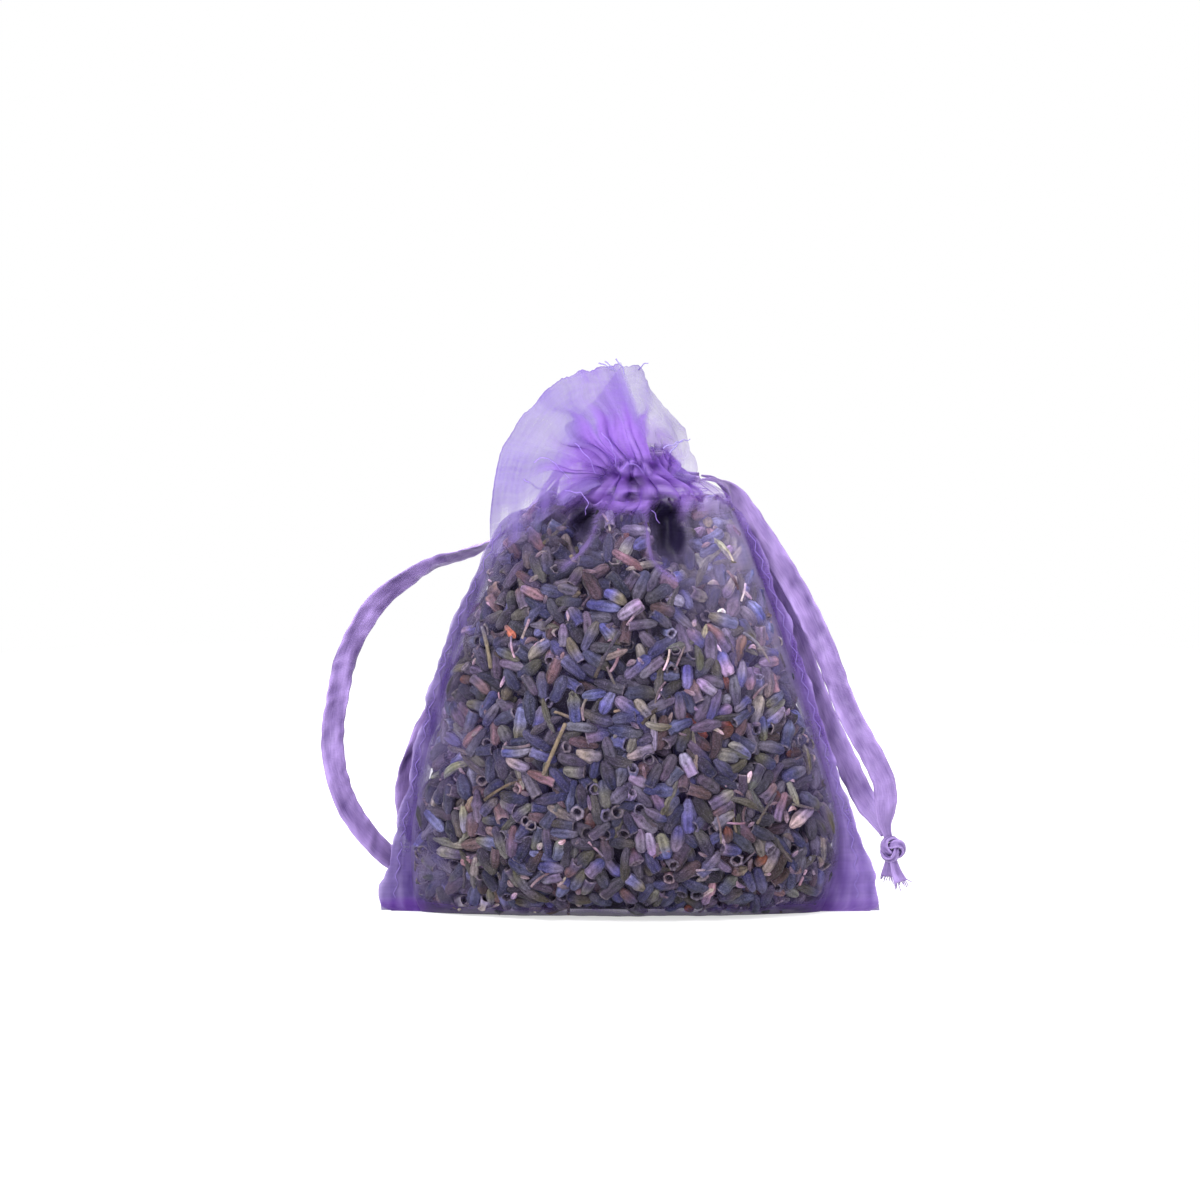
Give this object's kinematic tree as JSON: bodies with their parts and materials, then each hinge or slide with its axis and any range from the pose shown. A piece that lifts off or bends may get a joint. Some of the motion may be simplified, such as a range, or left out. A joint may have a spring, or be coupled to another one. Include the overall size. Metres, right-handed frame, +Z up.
{
  "type": "lavender sachet",
  "caption": "Sheer drawstring pouch of dried lavender, gathered at the neck by two knotted ribbons, for scenting drawers and wardrobes.",
  "frame": {"origin": "middle of the base, on the surface the sachet stands on", "axes": "+Z up, +X to the right across the width, -Y to the front"},
  "size_m": [0.0828, 0.0327, 0.0771],
  "materials": {
    "organza": "sheer violet organza with a faint sheen",
    "seam_cloth": "layered violet organza, sewn or folded",
    "gathered_cloth": "tightly gathered violet organza",
    "sewing_thread": "fine twisted violet thread",
    "ribbon": "woven violet ribbon, softly shining and creased",
    "lavender_fill": "packed dried flowers, dull and dark between the buds",
    "bud_violet": "dried bud, dull blue-violet, finely ribbed and hairy",
    "bud_grey": "dried bud, dull grey, finely ribbed and hairy",
    "bud_olive": "dried bud, dull olive, finely ribbed and hairy",
    "bud_brown": "dried bud, dull brown-pink, finely ribbed and hairy",
    "stem": "dried stem, straw coloured",
    "leaf": "dried leaf, grey green"
  },
  "bodies": {
    "root": {"front_panel": "organza", "back_panel": "organza", "front_ruffle": "organza", "back_ruffle": "organza", "base_panel": "seam_cloth", "left_side_seam": "seam_cloth", "right_side_seam": "seam_cloth", "front_casing": "gathered_cloth", "back_casing": "gathered_cloth", "gathered_lining": "gathered_cloth", "left_seam_thread": "sewing_thread", "right_seam_thread": "sewing_thread", "front_lower_thread": "sewing_thread", "front_upper_thread": "sewing_thread", "back_lower_thread": "sewing_thread", "back_upper_thread": "sewing_thread", "lavender_heap": "lavender_fill", "bud_1": "bud_violet", "bud_2": "bud_grey", "bud_3": "bud_olive", "bud_4": "bud_brown", "bud_5": "bud_violet", "bud_6": "bud_grey", "bud_7": "bud_olive", "bud_8": "bud_brown", "bud_9": "bud_violet", "bud_10": "bud_grey", "bud_11": "bud_olive", "bud_12": "bud_brown", "bud_13": "bud_violet", "bud_14": "bud_grey", "bud_15": "bud_olive", "bud_16": "bud_brown", "bud_17": "bud_violet", "bud_18": "bud_grey", "bud_19": "bud_olive", "bud_20": "bud_brown", "bud_21": "bud_violet", "bud_22": "bud_grey", "bud_23": "bud_olive", "bud_24": "bud_brown", "stem_1": "stem", "stem_2": "stem", "stem_3": "stem", "leaf_bit_1": "leaf", "leaf_bit_2": "leaf"},
    "left_drawstring": {"left_ribbon_turn": "ribbon"},
    "left_loop": {"left_front_strand": "ribbon", "left_back_strand": "ribbon", "left_knot": "ribbon", "left_front_tail": "ribbon", "left_back_tail": "ribbon"},
    "right_drawstring": {"right_ribbon_turn": "ribbon"},
    "right_loop": {"right_front_strand": "ribbon", "right_back_strand": "ribbon", "right_knot": "ribbon", "right_front_tail": "ribbon", "right_back_tail": "ribbon"}
  },
  "joints": [
    {"name": "left_pull", "type": "slide", "parent": "root", "child": "left_drawstring", "axis": [-1, 0, 0], "range_m": [0, 0.003]},
    {"name": "left_swing", "type": "hinge", "parent": "left_drawstring", "child": "left_loop", "pos_m": [-0.0058, 0, 0.0636], "axis": [0, 1, 0], "range_deg": [0, 75]},
    {"name": "right_pull", "type": "slide", "parent": "root", "child": "right_drawstring", "axis": [1, 0, 0], "range_m": [0, 0.003]},
    {"name": "right_swing", "type": "hinge", "parent": "right_drawstring", "child": "right_loop", "pos_m": [0.01, 0, 0.0609], "axis": [0, -1, 0], "range_deg": [0, 75]}
  ]
}
